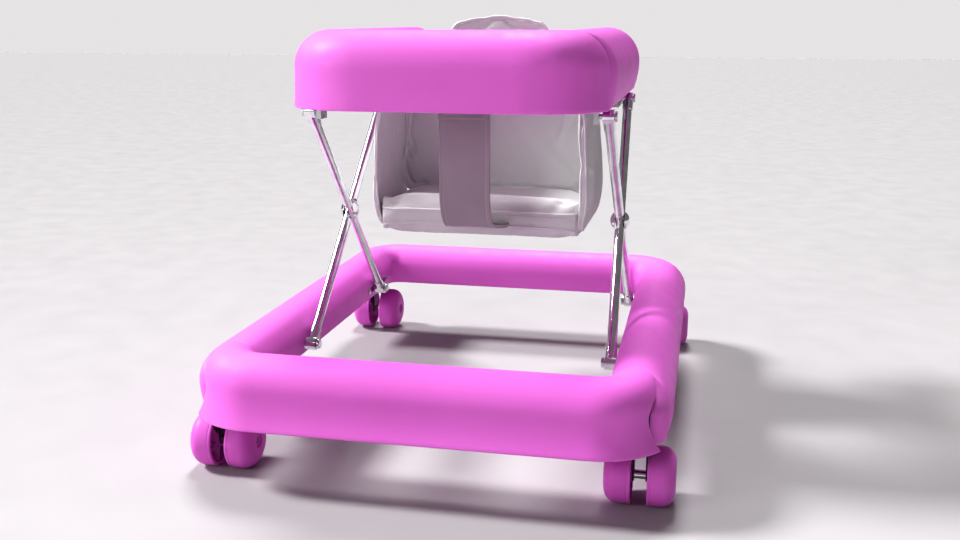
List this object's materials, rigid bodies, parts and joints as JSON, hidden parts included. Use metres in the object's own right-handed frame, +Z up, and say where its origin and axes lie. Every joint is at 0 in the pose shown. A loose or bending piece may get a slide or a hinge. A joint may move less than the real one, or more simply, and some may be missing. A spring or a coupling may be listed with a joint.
{
  "type": "baby walker",
  "caption": "Baby walker with a rounded rectangular base on twin-wheel casters, crossed folding chrome legs, a tray with side arms and a hanging cloth seat.",
  "frame": {"origin": "on the floor below the centre of the base", "axes": "+Z up, the front of the walker faces -Y, +X to the right seen from the front"},
  "size_m": [0.5808, 0.7205, 0.541],
  "materials": {
    "moulded_plastic": "magenta pink moulded plastic, satin gloss",
    "wheel_plastic": "magenta pink moulded plastic, satin",
    "chrome_tube": "polished chrome plate",
    "bright_steel": "bright zinc plated steel",
    "track_plastic": "natural nylon",
    "dark_plastic": "dark plum moulded plastic",
    "seat_fabric": "padded light grey woven cloth",
    "strap_fabric": "light grey woven cloth strap"
  },
  "bodies": {
    "base": {"base_side_left": "moulded_plastic", "base_side_right": "moulded_plastic", "base_rear": "moulded_plastic", "base_rear_corner_left": "moulded_plastic", "base_rear_corner_right": "moulded_plastic", "bumper_front": "moulded_plastic", "bumper_corner_left": "moulded_plastic", "bumper_corner_right": "moulded_plastic", "base_tracks": "track_plastic", "track_screws": "bright_steel", "front_foot_pins": "chrome_tube", "pivot_plates": "bright_steel", "caster_sockets": "dark_plastic"},
    "front_legs": {"front_leg_left": "chrome_tube", "front_leg_right": "chrome_tube", "front_feet": "chrome_tube", "front_leg_heads": "chrome_tube", "leg_head_rollers": "bright_steel"},
    "rear_legs": {"rear_leg_left": "chrome_tube", "rear_leg_right": "chrome_tube", "rear_feet": "chrome_tube", "rear_leg_heads": "chrome_tube", "rear_foot_rollers": "bright_steel", "crossing_bolts": "chrome_tube"},
    "tray": {"tray_arm_left": "moulded_plastic", "tray_arm_right": "moulded_plastic", "front_panel": "moulded_plastic", "play_deck": "moulded_plastic", "tray_tracks": "track_plastic", "tray_hinges": "bright_steel", "tray_hinge_pins": "bright_steel", "seat_hoop": "bright_steel", "seat_pan": "seat_fabric", "seat_side_left": "seat_fabric", "seat_side_right": "seat_fabric", "seat_back": "seat_fabric", "crotch_strap": "strap_fabric"},
    "lock_left": {"lock_pin_left": "dark_plastic"},
    "lock_right": {"lock_pin_right": "dark_plastic"},
    "caster_front_left": {"caster_stem_front_left": "bright_steel", "caster_fork_front_left": "dark_plastic"},
    "wheels_front_left": {"caster_axle_front_left": "chrome_tube", "wheel_front_left_left": "wheel_plastic", "wheel_front_left_right": "wheel_plastic"},
    "caster_front_right": {"caster_stem_front_right": "bright_steel", "caster_fork_front_right": "dark_plastic"},
    "wheels_front_right": {"caster_axle_front_right": "chrome_tube", "wheel_front_right_left": "wheel_plastic", "wheel_front_right_right": "wheel_plastic"},
    "caster_rear_left": {"caster_stem_rear_left": "bright_steel", "caster_fork_rear_left": "dark_plastic"},
    "wheels_rear_left": {"caster_axle_rear_left": "chrome_tube", "wheel_rear_left_left": "wheel_plastic", "wheel_rear_left_right": "wheel_plastic"},
    "caster_rear_right": {"caster_stem_rear_right": "bright_steel", "caster_fork_rear_right": "dark_plastic"},
    "wheels_rear_right": {"caster_axle_rear_right": "chrome_tube", "wheel_rear_right_left": "wheel_plastic", "wheel_rear_right_right": "wheel_plastic"}
  },
  "joints": [
    {"name": "leg_fold", "type": "hinge", "parent": "base", "child": "front_legs", "pos_m": [0, -0.1275, 0.11], "axis": [1, 0, 0], "range_deg": [-11.1, 3.7]},
    {"name": "leg_crossing", "type": "hinge", "parent": "front_legs", "child": "rear_legs", "pos_m": [0, 0.02675, 0.265], "axis": [1, 0, 0], "range_deg": [-7.5, 22.3]},
    {"name": "tray_hinge", "type": "hinge", "parent": "rear_legs", "child": "tray", "pos_m": [0, -0.1275, 0.42], "axis": [1, 0, 0], "range_deg": [-11.2, 3.8]},
    {"name": "lock_left_slide", "type": "slide", "parent": "tray", "child": "lock_left", "axis": [-1, 0, 0], "range_m": [0, 0.006]},
    {"name": "lock_right_slide", "type": "slide", "parent": "tray", "child": "lock_right", "axis": [1, 0, 0], "range_m": [0, 0.006]},
    {"name": "swivel_front_left", "type": "hinge", "parent": "base", "child": "caster_front_left", "pos_m": [-0.25, -0.307, 0.07], "axis": [0, 0, 1], "continuous": true},
    {"name": "wheel_spin_front_left", "type": "hinge", "parent": "caster_front_left", "child": "wheels_front_left", "pos_m": [-0.25, -0.287, 0.034], "axis": [1, 0, 0], "continuous": true},
    {"name": "swivel_front_right", "type": "hinge", "parent": "base", "child": "caster_front_right", "pos_m": [0.25, -0.307, 0.07], "axis": [0, 0, 1], "continuous": true},
    {"name": "wheel_spin_front_right", "type": "hinge", "parent": "caster_front_right", "child": "wheels_front_right", "pos_m": [0.25, -0.287, 0.034], "axis": [1, 0, 0], "continuous": true},
    {"name": "swivel_rear_left", "type": "hinge", "parent": "base", "child": "caster_rear_left", "pos_m": [-0.25, 0.307, 0.07], "axis": [0, 0, 1], "continuous": true},
    {"name": "wheel_spin_rear_left", "type": "hinge", "parent": "caster_rear_left", "child": "wheels_rear_left", "pos_m": [-0.25, 0.327, 0.034], "axis": [1, 0, 0], "continuous": true},
    {"name": "swivel_rear_right", "type": "hinge", "parent": "base", "child": "caster_rear_right", "pos_m": [0.25, 0.307, 0.07], "axis": [0, 0, 1], "continuous": true},
    {"name": "wheel_spin_rear_right", "type": "hinge", "parent": "caster_rear_right", "child": "wheels_rear_right", "pos_m": [0.25, 0.327, 0.034], "axis": [1, 0, 0], "continuous": true}
  ],
  "couplings": [
    {"joint": "leg_crossing", "follows": "leg_fold", "ratio": -2},
    {"joint": "tray_hinge", "follows": "leg_fold", "ratio": 1}
  ]
}
